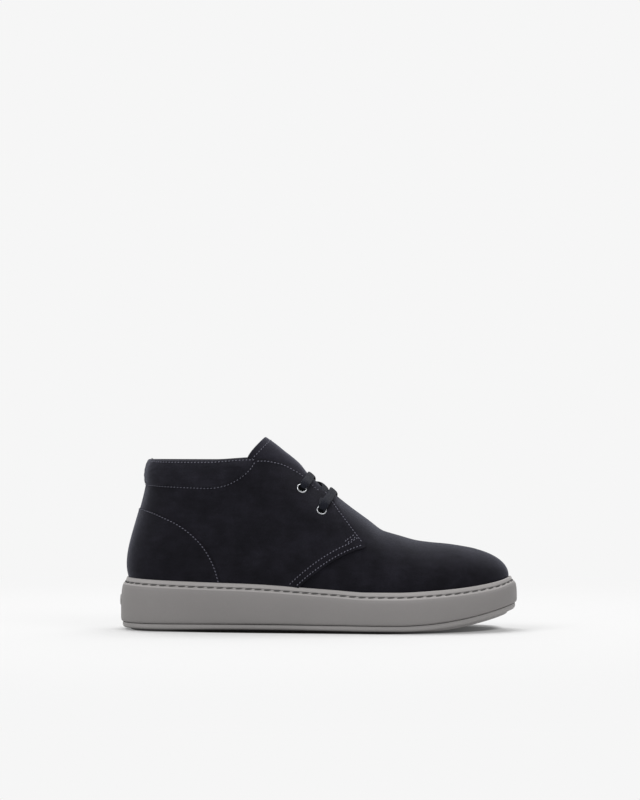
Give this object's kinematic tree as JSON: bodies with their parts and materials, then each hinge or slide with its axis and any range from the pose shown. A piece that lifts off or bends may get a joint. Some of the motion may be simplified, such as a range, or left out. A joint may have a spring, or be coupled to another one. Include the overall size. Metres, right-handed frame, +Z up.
{
  "type": "chukka boot",
  "caption": "Right ankle-high chukka boot: hollow suede upper, open collar and throat, laced tongue and eyelets, stitched rubber cup sole with a thin tread.",
  "frame": {"origin": "on the floor, under the middle of the boot's box", "axes": "+X to the toe, +Y to the inner side of the foot, +Z up"},
  "size_m": [0.3, 0.1064, 0.1459],
  "materials": {
    "tread_rubber": "matt moulded rubber",
    "cup_rubber": "matt moulded rubber",
    "insole_cloth": "brushed cloth",
    "suede": "dark navy nubuck with a short nap",
    "lining": "soft padded lining",
    "eyelet_metal": "satin",
    "lace_cloth": "flat braid"
  },
  "bodies": {
    "root": {"outsole": "tread_rubber", "cupsole": "cup_rubber", "insole": "insole_cloth", "upper": "suede", "collar_pad": "lining", "tongue": "suede", "eyelet_lateral_upper": "eyelet_metal", "eyelet_lateral_lower": "eyelet_metal", "eyelet_medial_upper": "eyelet_metal", "eyelet_medial_lower": "eyelet_metal", "lace": "lace_cloth"}
  },
  "joints": []
}
